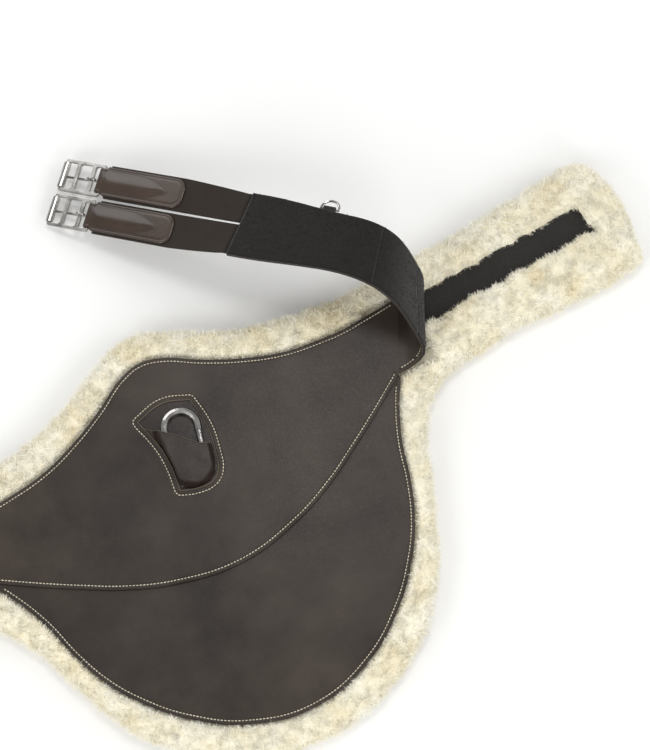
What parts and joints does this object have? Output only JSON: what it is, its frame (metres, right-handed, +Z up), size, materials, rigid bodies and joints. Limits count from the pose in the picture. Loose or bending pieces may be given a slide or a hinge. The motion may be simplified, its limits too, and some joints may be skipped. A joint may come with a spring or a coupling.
{
  "type": "stud girth",
  "caption": "Shaped leather stud girth with a belly guard, sheepskin lining, snap-hook pocket, and elastic ends with roller buckles.",
  "frame": {"origin": "on the surface that the girth lies on, under the middle of the snap-hook pocket", "axes": "+X along the girth to the end that is folded back, +Y to the horse's front, +Z up, out of the smooth leather"},
  "size_m": [1.1489, 0.5958, 0.1114],
  "materials": {
    "leather": "smooth, soft sheen",
    "chape_leather": "polished",
    "lining": "matt backing",
    "loop_cloth": "napped loop cloth",
    "elastic": "ribbed webbing",
    "fleece": "wool on the skin",
    "steel": "polished stainless"
  },
  "bodies": {
    "girth": {"sheepskin": "fleece", "guard_lining": "lining", "belly_guard_panel": "leather", "girth_overlay": "leather", "pocket_backing": "leather", "pocket_flap": "leather", "hook_keeper": "leather", "left_hook_strip": "loop_cloth", "right_hook_strip": "loop_cloth"},
    "snap_hook": {"snap_hook_body": "steel", "snap_hook_gate_pin": "steel"},
    "snap_hook_gate": {"snap_hook_gate": "steel"},
    "left_strap_roll_1": {"left_strap_leather_roll_1": "leather", "left_strap_lining_roll_1": "loop_cloth"},
    "left_strap_roll_2": {"left_strap_leather_roll_2": "leather", "left_strap_lining_roll_2": "loop_cloth"},
    "left_strap_end": {"left_strap_leather_end": "leather", "left_strap_lining_end": "loop_cloth", "left_ring_tab": "leather", "left_front_elastic": "elastic", "left_rear_elastic": "elastic"},
    "left_ring": {"left_ring": "steel"},
    "left_front_chape": {"left_front_chape": "chape_leather"},
    "left_front_buckle": {"left_front_buckle_frame": "steel"},
    "left_front_tongue": {"left_front_buckle_tongue": "steel"},
    "left_front_roller": {"left_front_buckle_roller": "steel"},
    "left_rear_chape": {"left_rear_chape": "chape_leather"},
    "left_rear_buckle": {"left_rear_buckle_frame": "steel"},
    "left_rear_tongue": {"left_rear_buckle_tongue": "steel"},
    "left_rear_roller": {"left_rear_buckle_roller": "steel"},
    "right_strap_roll_1": {"right_strap_leather_roll_1": "leather", "right_strap_lining_roll_1": "loop_cloth"},
    "right_strap_roll_2": {"right_strap_leather_roll_2": "leather", "right_strap_lining_roll_2": "loop_cloth"},
    "right_strap_end": {"right_strap_leather_end": "leather", "right_strap_lining_end": "loop_cloth", "right_ring_tab": "leather", "right_front_elastic": "elastic", "right_rear_elastic": "elastic"},
    "right_ring": {"right_ring": "steel"},
    "right_front_chape": {"right_front_chape": "chape_leather"},
    "right_front_buckle": {"right_front_buckle_frame": "steel"},
    "right_front_tongue": {"right_front_buckle_tongue": "steel"},
    "right_front_roller": {"right_front_buckle_roller": "steel"},
    "right_rear_chape": {"right_rear_chape": "chape_leather"},
    "right_rear_buckle": {"right_rear_buckle_frame": "steel"},
    "right_rear_tongue": {"right_rear_buckle_tongue": "steel"},
    "right_rear_roller": {"right_rear_buckle_roller": "steel"}
  },
  "joints": [
    {"name": "snap_hook_swing", "type": "hinge", "parent": "girth", "child": "snap_hook", "pos_m": [0.00141, -0.02195, 0.0319], "axis": [0, 0, 1], "range_deg": [-3, 3]},
    {"name": "snap_hook_gate_hinge", "type": "hinge", "parent": "snap_hook", "child": "snap_hook_gate", "pos_m": [0.01384, -0.01997, 0.0319], "axis": [0, 0, 1], "range_deg": [0, 20], "stiffness_Nm_per_rad": 0.02, "springref_deg": -17.19},
    {"name": "left_strap_fold_1", "type": "hinge", "parent": "girth", "child": "left_strap_roll_1", "pos_m": [-0.225, 0, 0.0295], "axis": [0, 1, 0], "range_deg": [0, 56]},
    {"name": "left_strap_fold_2", "type": "hinge", "parent": "left_strap_roll_1", "child": "left_strap_roll_2", "pos_m": [-0.263, 0, 0.0295], "axis": [0, 1, 0], "range_deg": [0, 56]},
    {"name": "left_strap_fold_3", "type": "hinge", "parent": "left_strap_roll_2", "child": "left_strap_end", "pos_m": [-0.301, 0, 0.0295], "axis": [0, 1, 0], "range_deg": [0, 56]},
    {"name": "left_ring_swing", "type": "hinge", "parent": "left_strap_end", "child": "left_ring", "pos_m": [-0.403, 0.03665, 0.0318], "axis": [-1, 0, 0], "range_deg": [-60, 60]},
    {"name": "left_front_elastic_stretch", "type": "slide", "parent": "left_strap_end", "child": "left_front_chape", "axis": [-0.9925, 0, -0.1218], "range_m": [0, 0.025], "stiffness_N_per_m": 600, "deforming": ["left_front_elastic"]},
    {"name": "left_front_buckle_hinge", "type": "hinge", "parent": "left_front_chape", "child": "left_front_buckle", "pos_m": [-0.62998, 0.0177, 0.00957], "axis": [0, -1, 0], "range_deg": [-20, 20]},
    {"name": "left_front_tongue_hinge", "type": "hinge", "parent": "left_front_buckle", "child": "left_front_tongue", "pos_m": [-0.6409, 0.0177, 0.00823], "axis": [0, -1, 0], "range_deg": [-115, 0]},
    {"name": "left_front_roller_spin", "type": "hinge", "parent": "left_front_buckle", "child": "left_front_roller", "pos_m": [-0.67167, 0.0177, 0.00445], "axis": [0, -1, 0], "continuous": true},
    {"name": "left_rear_elastic_stretch", "type": "slide", "parent": "left_strap_end", "child": "left_rear_chape", "axis": [-0.9925, 0, -0.1218], "range_m": [0, 0.025], "stiffness_N_per_m": 600, "deforming": ["left_rear_elastic"]},
    {"name": "left_rear_buckle_hinge", "type": "hinge", "parent": "left_rear_chape", "child": "left_rear_buckle", "pos_m": [-0.62998, -0.0177, 0.00957], "axis": [0, -1, 0], "range_deg": [-20, 20]},
    {"name": "left_rear_tongue_hinge", "type": "hinge", "parent": "left_rear_buckle", "child": "left_rear_tongue", "pos_m": [-0.6409, -0.0177, 0.00823], "axis": [0, -1, 0], "range_deg": [-115, 0]},
    {"name": "left_rear_roller_spin", "type": "hinge", "parent": "left_rear_buckle", "child": "left_rear_roller", "pos_m": [-0.67167, -0.0177, 0.00445], "axis": [0, -1, 0], "continuous": true},
    {"name": "right_strap_unfold_1", "type": "hinge", "parent": "girth", "child": "right_strap_roll_1", "pos_m": [0.225, 0, 0.0248], "axis": [0.454, 0.891, 0], "range_deg": [0, 18]},
    {"name": "right_strap_unfold_2", "type": "hinge", "parent": "right_strap_roll_1", "child": "right_strap_roll_2", "pos_m": [0.25388, 0.00465, 0.04555], "axis": [0.454, 0.891, 0], "range_deg": [0, 54]},
    {"name": "right_strap_unfold_3", "type": "hinge", "parent": "right_strap_roll_2", "child": "right_strap_end", "pos_m": [0.2482, 0.02691, 0.07648], "axis": [0.4896, 0.8687, -0.0759], "range_deg": [0, 54]},
    {"name": "right_ring_swing", "type": "hinge", "parent": "right_strap_end", "child": "right_ring", "pos_m": [0.21702, 0.12157, 0.08094], "axis": [-0.6911, 0.6808, -0.2428], "range_deg": [-60, 60]},
    {"name": "right_front_elastic_stretch", "type": "slide", "parent": "right_strap_end", "child": "right_front_chape", "axis": [-0.6608, 0.6697, -0.3389], "range_m": [0, 0.025], "stiffness_N_per_m": 600, "deforming": ["right_front_elastic"]},
    {"name": "right_front_buckle_hinge", "type": "hinge", "parent": "right_front_chape", "child": "right_front_buckle", "pos_m": [0.0489, 0.2647, 0.02508], "axis": [0.6924, 0.7182, 0.0691], "range_deg": [-20, 20]},
    {"name": "right_front_tongue_hinge", "type": "hinge", "parent": "right_front_buckle", "child": "right_front_tongue", "pos_m": [0.04163, 0.27207, 0.02135], "axis": [0.6924, 0.7182, 0.0691], "range_deg": [-115, 0]},
    {"name": "right_front_roller_spin", "type": "hinge", "parent": "right_front_buckle", "child": "right_front_roller", "pos_m": [0.02114, 0.29283, 0.01084], "axis": [0.6924, 0.7182, 0.0691], "continuous": true},
    {"name": "right_rear_elastic_stretch", "type": "slide", "parent": "right_strap_end", "child": "right_rear_chape", "axis": [-0.6608, 0.6697, -0.3389], "range_m": [0, 0.025], "stiffness_N_per_m": 600, "deforming": ["right_rear_elastic"]},
    {"name": "right_rear_buckle_hinge", "type": "hinge", "parent": "right_rear_chape", "child": "right_rear_buckle", "pos_m": [0.02439, 0.23928, 0.02263], "axis": [0.6924, 0.7182, 0.0691], "range_deg": [-20, 20]},
    {"name": "right_rear_tongue_hinge", "type": "hinge", "parent": "right_rear_buckle", "child": "right_rear_tongue", "pos_m": [0.01712, 0.24665, 0.0189], "axis": [0.6924, 0.7182, 0.0691], "range_deg": [-115, 0]},
    {"name": "right_rear_roller_spin", "type": "hinge", "parent": "right_rear_buckle", "child": "right_rear_roller", "pos_m": [-0.00337, 0.26741, 0.00839], "axis": [0.6924, 0.7182, 0.0691], "continuous": true}
  ],
  "couplings": [
    {"joint": "left_strap_fold_2", "follows": "left_strap_fold_1", "ratio": 1},
    {"joint": "left_strap_fold_3", "follows": "left_strap_fold_1", "ratio": 1},
    {"joint": "right_strap_unfold_2", "follows": "right_strap_unfold_1", "ratio": 3},
    {"joint": "right_strap_unfold_3", "follows": "right_strap_unfold_1", "ratio": 3}
  ]
}
